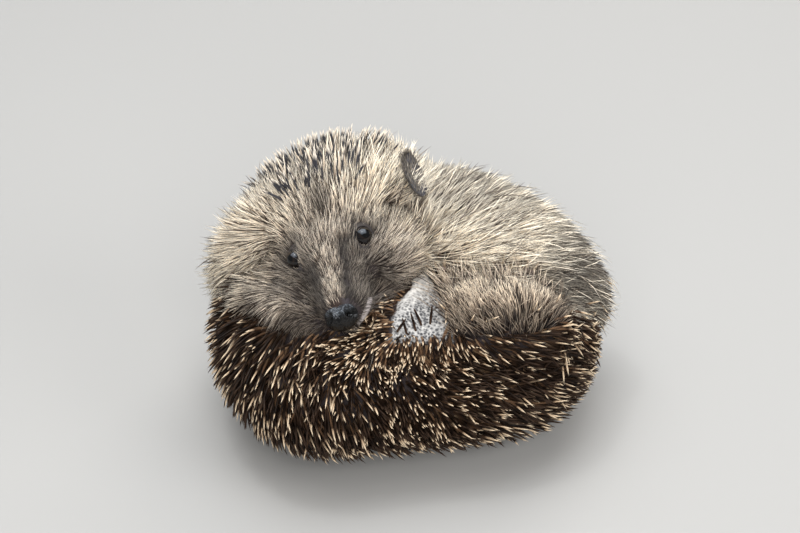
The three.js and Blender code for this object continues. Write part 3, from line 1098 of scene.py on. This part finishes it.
def lone_spines():
    """Each is given as x, the tipped height of its root, and its lean from upright, in degrees."""
    rng = np.random.default_rng(13)
    spots = np.array(LONE_SPINES)
    seen = np.stack([skin_x, skin_tipped], -1)
    hidden = 20 * (skin_normals @ to_camera < 0.2)
    nearest = [int(np.argmin(np.linalg.norm(seen - spot[:2], axis=-1) + hidden)) for spot in spots]
    roots, normals = skin_points[nearest], skin_normals[nearest]
    fan = swung(np.radians(spots[:, 2:]))
    start, end = unit(fan + 0.9 * normals), unit(fan + 0.5 * normals)
    length, thickness = rng.uniform(6.4, 7.6, 5) * MM, np.full(5, LONE_SPINE_THICKNESS)
    return spine_mesh("spines_patch", roots, normals, start, end, length, thickness,
                      {"shade": np.linspace(0.02, 0.2, 5), "crowned": np.zeros(5)})


place_piece(lone_spines(), spine_horn, slot="spines")

# %% [markdown]
# ## Fur
#
# Hairs are finer than spines and lie closer. They gather into locks, because neighbours share the
# same slow drift. Their length follows from the depth of the coat, so the hairs of the snout are
# a few millimetres long and those of the flank nearly twenty. Longer and thicker guard hairs stand
# out of the fur of the flank and the neck.

# %% Growing a coat of hair
HAIR_SWELL = ((0, 0.4, 0.75, 1), (0.7, 1.0, 0.85, 0))
HAIR, SHORT_HAIR = ((0, 0.4, 0.75, 1), HAIR_SWELL, 3), ((0, 0.5, 1), HAIR_SWELL, 3)
HAIR_SUNK = 0.4 * MM


def fineness(p):
    """0 at the nose, 1 from the ruff on."""
    return ease(from_nose(p), 14, 52)


def hair_thickness(p):
    """In millimetres: fine on the snout, coarser behind, and silky on the flanks."""
    part = shares(p)
    return 0.165 + 0.09 * fineness(p) - 0.03 * part["left_flank"] - 0.01 * part["right_flank"]


HAIRS_PER_MM2 = 2.15


def hair_density(p):
    """Hairs to the square millimetre: thinner and shorter hairs stand closer."""
    return HAIRS_PER_MM2 * (0.32 / hair_thickness(p)) ** 2 * (1 + 0.5 * (1 - fineness(p)))


def grow_fur(name, seed, weight, centre, kind=HAIR, locks=0.17, loose=0.14, slot="fur", ground=ground,
             flow=lean, depth=coat_depth, room=1.0, toned=0.0, masking=1.0, coarse=1.0, lifted=0.0):
    """Hairs over the ground, as long as the depth of the coat over the sine of their mean slant.
    locks and loose are how far neighbours stray together and alone, room how far tips may stand
    out, toned the least of the grey of the mask and its painted shade and masking their share, coarse
    how many times as thick the hairs are, and lifted how much more upright."""
    rng = np.random.default_rng(seed)
    points, _, triangles = ground
    area = doubled_areas(ground) / 2 / MM**2
    wanted = weight * hair_density(points) / coarse**2
    count = int((area * wanted[triangles].mean(-1)).sum())
    roots, normals = draw_roots(rng, ground, count, wanted)
    part, far = shares(roots), paleness(roots)
    loose = loose * (1 + 0.6 * part["right_flank"])[:, None]
    stray = locks * drift(rng, roots, 7) + loose * rng.normal(size=roots.shape)
    lie = flow(roots, normals)
    lift = (0.26 + 0.24 * fineness(roots) + lifted)[:, None]
    start = unit((lift + 0.3) * normals + lie + 0.6 * stray)
    end = unit(lift * 0.5 * normals + lie + 1.2 * stray)
    slant = along_normal(start + end, normals)[:, 0] / 2
    reach = 1.5 - 0.45 * fineness(roots)
    length = reach * depth(roots) / np.maximum(slant, 0.3) * rng.uniform(0.72, 1.12, len(roots))
    length = kept_within(roots, start, end, length, room) * (1 - 0.55 * jaw(roots))
    shade = rng.random(len(roots)) + 0.05 * drift(rng, roots, 3)[:, 0] - 0.14 * (1 - far)
    shade = shade + 0.06 * (part["left_flank"] + part["right_flank"]) + 0.09 * part["neck"]
    thick = coarse * hair_thickness(roots) * rng.uniform(0.7, 1.2, len(roots)) * MM
    mesh = coat_mesh(
        name, kind, roots - HAIR_SUNK * normals, start, end, length * MM, thick, centre,
        {"shade": np.clip(shade, 0, 1), "tone": np.maximum(masking * mask_and_painted_shade(roots), toned),
         "brown": brown(roots), "far": far, "rooted": part["right_flank"]})
    print(name, "hairs", len(roots), "faces", len(mesh.polygons))
    return place_piece(mesh, fur, slot=slot)


def paleness(p):
    """How pale the fur is: dull on the face but for the tip of the bridge, paler over the brow and
    the left cheek, palest behind."""
    bridge = 0.3 * near(p, on_head(16.5, -1.5, 2), 5.5)
    behind = ease(from_nose(p) + 2.5 * drift(np.random.default_rng(5), p, 9)[:, 0], 20, 52)
    left_cheek = 0.45 * ease(in_head(p)[1], 3, 10) * ease(from_nose(p), 26, 34)
    return np.maximum(np.clip(behind + left_cheek, 0, 1), bridge)


# %% Where each kind of fur grows
part = shares(skin_points)
ahead, to_left, _ = in_head(skin_points)
furry = 1 - ease(spiny(skin_points, 3.0 * ease(skin_x, 8, 14)), 0.35, 0.75) * np.where(on_crown, 0.74, 1)
furry = furry * (1 - ease(patch, -2.4 - 1.2 * ease(skin_x, 4, 8), -0.6))
furry = furry * ease(off_eyes(skin_points), 3.0, 3.7)
furry = furry * (1 - 0.6 * near(skin_points, plan(52, 5, 51), 9))
furry = furry * (1 - 0.85 * near(
    skin_points, centre_of("ear_left") + MM * (2 * crown - 0.5 * forward + 2 * left), 5.4))
furry = furry * (1 - 0.65 * part["left_flank"] * ease(skin_x, 34, 50))
limbs = limb_share(skin_points)
on_face = part["head"] * furry
on_cheeks = on_face * (ahead <= 4) * (ahead > -9)
on_neck = part["neck"] * furry
on_flank = part["left_flank"] * furry * (1 - 0.8 * limbs)

HEAD_MIDDLE, NECK_MIDDLE = on_head(-8, 0, -8), on_head(-24, 0, -16)
for name, seed, where, locks in (
        ("fur_snout", 21, on_face * (ahead > 4) * fall(ahead, 22.5, 25), 0.22),
        ("fur_face_left", 22, on_cheeks * (to_left > 0), 0.18),
        ("fur_face_right", 29, on_cheeks * (to_left <= 0), 0.18)):
    grow_fur(name, seed, where, HEAD_MIDDLE, kind=SHORT_HAIR, slot="face_fur", locks=locks)
grow_fur("fur_brow", 23, on_face * (ahead <= -9), HEAD_MIDDLE)
grow_fur("fur_chin", 28, part["mantle"] * furry * (1 - limbs), MANTLE_MIDDLE)
grow_fur("fur_ruff", 24, on_neck * (to_left < 0), NECK_MIDDLE, room=2.4)
grow_fur("fur_neck", 25, on_neck * (to_left >= 0), NECK_MIDDLE, room=1.8)
grow_fur("fur_flank", 26, on_flank, FLANK_MIDDLE, room=1.8)
grow_fur("fur_guard", 34, 0.35 * np.maximum(on_flank, on_neck * (skin_x < 10)), MANTLE_MIDDLE,
         locks=0.2, loose=0.18, room=4.6, coarse=1.5, lifted=0.2, masking=0.3)
grow_fur("fur_roll", 27, part["right_flank"] * furry * (1 - 0.8 * limbs), ROLL_MIDDLE)

# %% [markdown]
# ## Eyes
#
# A hedgehog's eye is a small black bead that stands out between thick dark lids. The ball has a
# cornea that bulges a little, and a wide bluish lamp of its own, linked to nothing else, so that it
# mirrors an open sky. The lids are a ring whose section runs up from under the skin, over a rounded
# lip, and down inside against the ball.

# %% Eyeballs
SIDES = {"left": 1, "right": -1}


def ball_mesh(name, centre, radius, rays):
    """A ball of rays from the centre, each as long as its radius: its points, and its mesh."""
    points, quads, fans = closed_ball(centre + MM * radius[..., None] * rays)
    return points, as_mesh(name, points, quads, fans)


EYE_RADIUS = 3.2
CORNEA_BULGE = 0.07


def eye_axes(side):
    """Towards the nose, then up, then out of the head at the eye, all square to each other."""
    place = centre_of(f"eye_{side}")
    step = 0.1 * MM
    rise = [head_mass(place + step * axis) - head_mass(place - step * axis) for axis in np.eye(3)]
    out = unit(np.array(rise))
    front = unit(forward - out * (forward @ out))
    return place, np.array([front, np.cross(out, front), out])


def eyeball(side):
    """A ball whose radius swells by the cornea's bulge towards its outward axis."""
    place, axes = eye_axes(side)
    rays = ray_directions(48, 72)
    radius = EYE_RADIUS * (1 + CORNEA_BULGE * bell(np.arccos(np.clip(rays[..., 2], -1, 1)), 0.6))
    points, mesh = ball_mesh(f"eyeball_{side}", place, radius, rays @ axes)
    give(mesh, "off_axis", np.arccos(np.clip(unit(points - place) @ axes[2], -1, 1)))
    return mesh


def eye_material():
    material, tree, shader = new_material("eye", 0.05, 0.38)
    paint(tree, shader, colour_ramp(tree, number(tree, "off_axis"), (0.45, (0.001, 0.001, 0.001)),
                                    (0.55, (0.01, 0.006, 0.004)), (0.75, (0.004, 0.003, 0.003))))
    return material


eye_look = eye_material()
eyeballs = bpy.data.collections.new("eyeballs")
for side in SIDES:
    eyeballs.objects.link(place_piece(eyeball(side), eye_look, f"eye_{side}", slot="eye"))
catchlight = lamp("catchlight", (-0.08, 0.16, 1.0), 1.5, 26, (0.72, 0.85, 1.0), mirrored=True)
catchlight.light_linking.receiver_collection = eyeballs

# %% Smooth curves through a few points


def through(points, count, closed=False):
    """count points along a smooth curve through the given ones. Between two neighbours it is the
    cubic whose slopes at both ends are half the step from the point before to the point after."""
    points = np.asarray(points, float)
    turns = len(points) if closed else len(points) - 1
    t = np.linspace(0, turns, count, endpoint=not closed)
    cell = np.minimum(t.astype(int), turns - 1)
    t = (t - cell)[:, None]

    def pick(step):
        index = cell + step
        return points[index % len(points)] if closed else points[np.clip(index, 0, len(points) - 1)]

    before, here, there, after = pick(-1), pick(0), pick(1), pick(2)
    leave, arrive = (there - before) / 2, (after - here) / 2
    return (here * (2 * t**3 - 3 * t**2 + 1) + leave * (t**3 - 2 * t**2 + t)
            + there * (3 * t**2 - 2 * t**3) + arrive * (t**3 - t**2))


# %% Eyelids
LID_SECTION = [(3.15, 0.1), (3.00, 0.8), (3.08, 1.15), (3.3, 1.2), (3.65, 0.85), (4.3, 0.25), (5.2, -0.7),
               (5.4, -1.8), (3.3, -1.4)]  # off the eye's axis and along it, in millimetres
LID_ROWS, LID_COLUMNS = 36, 96


def eyelids(side):
    """The section is carried round the eye's axis. Its distance from the axis is 1 + 0.05 cos 2a
    times as large at the angle a from the nose's side, and drawn out to a corner there. Small waves
    round the rim wrinkle it."""
    place, axes = eye_axes(side)
    section = through(LID_SECTION, LID_ROWS, closed=True)
    around = round_angles(LID_COLUMNS)
    wide = 1 + 0.05 * np.cos(2 * around) + 0.13 * bell(np.angle(np.exp(1j * around)), 0.35)
    folds = 0.05 * np.sin(9 * around + 1.0) + 0.04 * np.sin(17 * around)
    off, height = section[:, :1] * wide[None], section[:, 1:] + 0 * around[None]
    height = height + folds[None] * ease(section[:, :1], 2.8, 3.6)
    local = np.stack([off * np.cos(around), off * np.sin(around), height], -1)
    points = place + MM * local.reshape(-1, 3) @ axes
    return as_mesh(f"eyelids_{side}", points, grid_corners(LID_ROWS, LID_COLUMNS, wrap_rows=True)[:, ::-1])


lid_skin = mottled("lid_skin", 0.38, 0.5, 1.6, (0.018, 0.015, 0.015), (0.055, 0.047, 0.045), 3.0, 0.12)
for side in SIDES:
    place_piece(eyelids(side), lid_skin, slot="bare_skin")

# %% [markdown]
# ## Nose
#
# The nose is a bare, wet, pebbled pad, tipped up from the line of the snout. Two nostrils open at
# its upper corners, each under a raised rim, and a groove divides it. All of it is one ball of rays
# whose radius is an ellipsoid's, plus and minus smooth bumps and pits.

# %% The nose
NOSE_TILT = np.radians(38)
nose_front = np.cos(NOSE_TILT) * forward + np.sin(NOSE_TILT) * crown
NOSE_AXES = np.array([left, np.cross(nose_front, left), nose_front])
NOSE_RADII = np.array([5.4, 4.4, 4.1])


def nose_mesh():
    """Radius of the ellipsoid, + wings beside the nostrils, + a rim round each, - a pit and a short
    slit outwards for each, - a groove down the middle. Each is a Gaussian of an angle."""
    rays = ray_directions(110, 190)
    radius = 1 / np.linalg.norm(rays / NOSE_RADII, axis=-1)
    hollow = np.zeros(radius.shape)
    for hand in (-1, 1):
        hole, slit, wing = (hand * 0.77, 0.36, 0.5), (hand * 0.92, 0.08, 0.32), (hand * 0.62, 0.1, 0.7)
        off_hole, off_slit, off_wing = (
            np.arccos(np.clip(rays @ unit(np.array(place)), -1, 1)) for place in (hole, slit, wing))
        radius += 0.45 * bell(off_wing, 0.42)
        radius += 0.32 * bell(off_hole - 0.5, 0.14) * ease(rays[..., 1], 0.1, 0.5)
        radius -= 2.6 * bell(off_hole, 0.38, 4) + 1.6 * bell(off_slit, 0.26, 4)
        hollow = np.maximum(hollow, bell(np.minimum(off_hole / 0.37, off_slit / 0.26), 1, 4))
    across = rays[..., 0] * radius
    radius -= 0.32 * bell(across, 0.42) * ease(rays[..., 2], 0.1, 0.4)
    radius -= 0.3 * bell(across, 1.3) * ease(rays[..., 1], 0.1, 0.5)
    points, mesh = ball_mesh("nose_pad", nose_middle, radius, rays @ NOSE_AXES)
    # hollow marks the nostril pits, painted near black as shade; upper marks the upper side, painted with a
    # highlight
    give(mesh, "hollow", closed_ball(np.stack([hollow] * 3, -1))[0][:, 0])
    give(mesh, "upper", ease(unit(points - nose_middle) @ NOSE_AXES[1], 0.2, 0.8))
    return mesh


def nose_material():
    """Black hide broken into pebbles by a cell texture, with a painted highlight that turns its upper side
    blue-grey, a painted shade that turns the nostril pits near black, and a film of wet.
    """
    material, tree, shader = new_material("nose_pad", 0.13, 0.42)
    mottle, pebbles = noise(tree, 0.9, 3), cells(tree, 1.8)
    gaps = colour_ramp(tree, pebbles, (0.22, (1, 1, 1)), (0.52, (0.3, 0.3, 0.3)))
    # painted highlight: the upper side is a lit blue-grey, the lower side stays black
    hide_and_painted_highlight = colour_ramp(tree, mottle, (0.3, (0.05, 0.055, 0.065)), (0.7, (0.2, 0.225, 0.255)))
    below = colour_ramp(tree, mottle, (0.3, (0.003, 0.003, 0.003)), (0.7, (0.014, 0.013, 0.013)))
    hide_and_painted_highlight = mixed(tree, number(tree, "upper"), below, hide_and_painted_highlight)
    hide_and_painted_highlight = times(tree, hide_and_painted_highlight, gaps)
    # painted shade: the nostril pits, marked by hollow, are near black
    paint(tree, shader, mixed(tree, number(tree, "hollow"), hide_and_painted_highlight, (0.002, 0.002, 0.002)))
    bumped(tree, shader, colour_ramp(tree, pebbles, (0.0, (1, 1, 1)), (0.7, (0, 0, 0))), 0.16)
    return material


place_piece(nose_mesh(), nose_material(), "nose", slot="bare_skin")

# %% [markdown]
# ## Lips and whiskers
#
# The upper lip shows as a pale bare rim on each side of the muzzle. It is a tube whose thickness
# swells and tapers along a smooth curve. The whiskers are long stiff hairs from the same pads.

# %% Tubes along curves


def tube(path, thickness, rows=40, sides=14, flat=1.0, lift=np.array([0, 0, 1.0])):
    """Rings square to a smooth path, as thick as the given radii, drawn to a point at both ends.
    flat squeezes each ring in the lift direction."""
    line = through(path, rows)
    radius = through(np.asarray(thickness, float)[:, None], rows)
    heading = unit(np.gradient(line, axis=0))
    side = unit(np.cross(heading, lift))
    other = np.cross(side, heading)
    angle = round_angles(sides)
    ring = np.cos(angle)[:, None] * side[:, None] - flat * np.sin(angle)[:, None] * other[:, None]
    points = line[:, None] + radius[:, None] * ring
    points[0], points[-1] = line[0], line[-1]
    return closed_ball(points)


# %% Lips
LIP_LINE = [(25.8, 2.6, -8.9), (24.6, 4.4, -8.2), (22.9, 6.4, -7.3), (21.0, 7.8, -6.8), (19.2, 8.6, -6.9)]
LIP_THICKNESS = [0.6, 0.95, 1.1, 1.05, 0.8]


def lip(hand):
    """The line mirrored by hand; the right lip is tucked in, where the mantle presses on it."""
    tucked = 1.0 if hand < 0 else 0.0
    line = [on_head(ahead - tucked, NOSE_LEFT + hand * (aside - tucked - NOSE_LEFT), up - tucked)
            for ahead, aside, up in LIP_LINE]
    return tube(line, MM * np.array(LIP_THICKNESS), lift=crown)


lip_skin = mottled("lip_skin", 0.45, 0.4, 1.4, (0.17, 0.15, 0.145), (0.42, 0.375, 0.36), 2.2, 0.35, 1.0)
place_piece(joined("lips", [lip(hand) for hand in SIDES.values()]), lip_skin, slot="bare_skin")

# %% [markdown]
# ## Ears
#
# The ears are short rounded cups of thin dark skin, half sunk in the coat. A cup could be a ball cut
# open, but its wall would need a second cut. Here it is one closed surface: rings run up from the
# base to the tip, each ring goes across the inner wall and back along the outer one, and both walls
# follow the same hollow.

# %% Ears
EAR_LENGTH, EAR_WIDTH, EAR_HOLLOW, EAR_WALL = 7.4, 4.8, 1.5, 0.9  # half sizes, but for the wall
EAR_SHIFT = {"left": (-2.0, 1.8, 2.9), "right": (-7.0, 0, -6.5)}  # the ruff presses on the right one
EAR_SIZE = {"left": 1.0, "right": 0.72}
EAR_COAT, EAR_HAIR_SHARE, EAR_DARKNESS = 0.9, 1.4, 0.93


def ear_axes(hand):
    """Along the ear from base to tip, across it, and out of its opening."""
    along = unit(-0.77 * forward - 0.09 * hand * left + 0.62 * crown)
    opening = hand * left + 0.33 * crown + 0.25 * forward
    opening = unit(opening - along * (opening @ along))
    return np.array([along, np.cross(opening, along), opening])


def ear_mesh(side, hand):
    """At the angle q round a ring, the place across is cos q and the two walls lie sin q apart; the
    hollow is as deep as sin² q, and all of it narrows to nothing at the base and the tip."""
    s = np.linspace(0, np.pi, 44)[:, None]
    q = round_angles(72)[None, :]
    narrow = np.sin(s) ** 0.8
    fold = 0.5 * bell(np.cos(q) - 0.35, 0.16) * (np.sin(q) > 0) * np.sin(s) ** 2
    local = np.stack([
        -EAR_LENGTH * np.cos(s) + 0 * q,
        EAR_WIDTH * narrow * np.cos(q),
        (EAR_WALL / 2 * np.sin(q) - EAR_HOLLOW * np.sin(q) ** 2 + fold) * narrow + 0.9,
    ], -1)
    centre = centre_of(f"ear_{side}") + MM * np.array(EAR_SHIFT[side]) @ ear_axes(hand)
    points, quads, fans = closed_ball(centre + MM * EAR_SIZE[side] * local @ ear_axes(hand))
    print("ear", side, "points", len(points))
    return as_mesh(f"ear_{side}", points, quads, fans)


ear_skin = mottled("ear_skin", 0.6, 0.3, 0.8, (0.05, 0.049, 0.056), (0.1, 0.098, 0.11), 2.6, 0.2)
for side, hand in SIDES.items():
    ear = ear_mesh(side, hand)
    ear_ground = read_mesh(ear)
    place_piece(ear, ear_skin, f"ear_{side}", slot="bare_skin")

    def up_the_ear(p, normals, along=ear_axes(hand)[0]):
        return unit(along - (normals @ along)[:, None] * normals)

    grow_fur(f"fur_ear_{side}", 31, np.full(len(ear_ground[0]), EAR_HAIR_SHARE), centre_of(f"ear_{side}"),
             kind=SHORT_HAIR, slot="face_fur", ground=ear_ground, flow=up_the_ear,
             depth=lambda p: np.full(len(p), EAR_COAT), room=9, toned=EAR_DARKNESS)

# %% [markdown]
# ## Paws
#
# The four feet are folded into the crease between the flanks, so little of them shows. Each has five
# short toes spread like a fan, and each toe a blunt curved claw. Toes and claws are tubes again.

# %% Toes and claws
TOE_FANS = np.radians([-48, -24, 0, 24, 48])
TOE_LENGTH, TOE_RADIUS, CLAW_RADIUS = 3.4, 0.95, 0.42
CLAW_LENGTHS = {"front": 3.6, "hind": 4.4}


def foot(name, part):
    """Five tubes from the leg's end, spread by the fans' angles in the plane of the leg and the
    body's length; the claw goes on from the toe's tip and bends down by a third of its length."""
    start, end, _, end_radius = LIMBS[name]
    along = unit(end - start)
    across = unit(np.array([1.0, 0, 0]) - along * along[0])
    down = np.cross(along, across)
    tubes = []
    for angle in TOE_FANS:
        heading = np.cos(angle) * along + np.sin(angle) * across
        root = end + MM * (end_radius - 1.6) * heading
        tip = root + MM * TOE_LENGTH * heading
        if part == "toes":
            middle = (root + tip) / 2 - 0.3 * MM * down
            tubes.append(tube([root, middle, tip, tip + 0.5 * MM * heading],
                              MM * TOE_RADIUS * np.array([1.0, 0.9, 1.05, 0.7]), rows=16, sides=12))
        else:
            reach = MM * CLAW_LENGTHS[name.split("_")[1]]
            tubes.append(tube([tip - 0.4 * MM * heading, tip + 0.5 * reach * heading,
                               tip + reach * heading + 0.35 * reach * down],
                              MM * CLAW_RADIUS * np.array([1.1, 0.9, 0.15]), rows=14, sides=10, flat=0.8))
    return tubes


legs = [name for name in LIMBS if name != "tail"]
toe_skin = mottled("toe_skin", 0.55, 0.4, 1.2, (0.16, 0.115, 0.1), (0.27, 0.2, 0.18), 2.8, 0.12)
claw_horn = mottled("claw_horn", 0.35, 0.4, 1.2, (0.2, 0.15, 0.1), (0.42, 0.34, 0.25), 2.8, 0.12)
for part, look in (("toes", toe_skin), ("claws", claw_horn)):
    place_piece(joined(part, [one for name in legs for one in foot(name, part)]), look, slot="bare_skin")

# %% Whiskers


WHISKERS_A_SIDE, WHISKER_THICKNESS = 16, 0.13 * MM


def whiskers():
    """Stiff hairs from the lip pads, swept out and back."""
    rng = np.random.default_rng(41)
    hand = np.repeat([1, -1], WHISKERS_A_SIDE)
    count = len(hand)
    ahead, up = rng.uniform(17, 23.5, count), rng.uniform(-7.5, -3.5, count)
    out = 6.8 - 0.25 * (ahead - 17)
    roots = np.array([on_head(a, NOSE_LEFT + h * o, u) for a, h, o, u in zip(ahead, hand, out, up)])
    side = hand[:, None] * left
    start = unit(side + 0.35 * forward + rng.normal(size=(count, 3)) * 0.16)
    end = unit(side - 0.55 * forward - 0.15 * crown + rng.normal(size=(count, 3)) * 0.16)
    return coat_mesh("whiskers", (np.linspace(0, 1, 7), HAIR_SWELL, 4), roots, start, end,
                     rng.uniform(9, 17, count) * MM, np.full(count, WHISKER_THICKNESS), HEAD_MIDDLE,
                     {"shade": rng.random(count)})


def whisker_material():
    material, tree, shader = new_material("whisker", 0.35, 0.5)
    paint(tree, shader, colour_ramp(
        tree, number(tree, "along"), (0.0, (0.012, 0.01, 0.01)), (1.0, (0.16, 0.13, 0.11))))
    return material


place_piece(whiskers(), whisker_material(), slot="face_fur")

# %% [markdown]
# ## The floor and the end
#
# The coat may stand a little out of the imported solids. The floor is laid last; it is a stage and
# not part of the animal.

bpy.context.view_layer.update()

# %% The floor
FLOOR_REACH = 3
floor_corners = FLOOR_REACH * np.array([[-1, -1, 0], [1, -1, 0], [1, 1, 0], [-1, 1, 0]], float)
floor = in_scene("floor", as_mesh("floor", floor_corners, np.array([[0, 1, 2, 3]])))
floor_look, _, floor_shader = new_material("floor", 0.7, 0.5)
floor_shader.inputs["Base Color"].default_value = (0.36, 0.355, 0.345, 1)
floor.data.materials.append(floor_look)
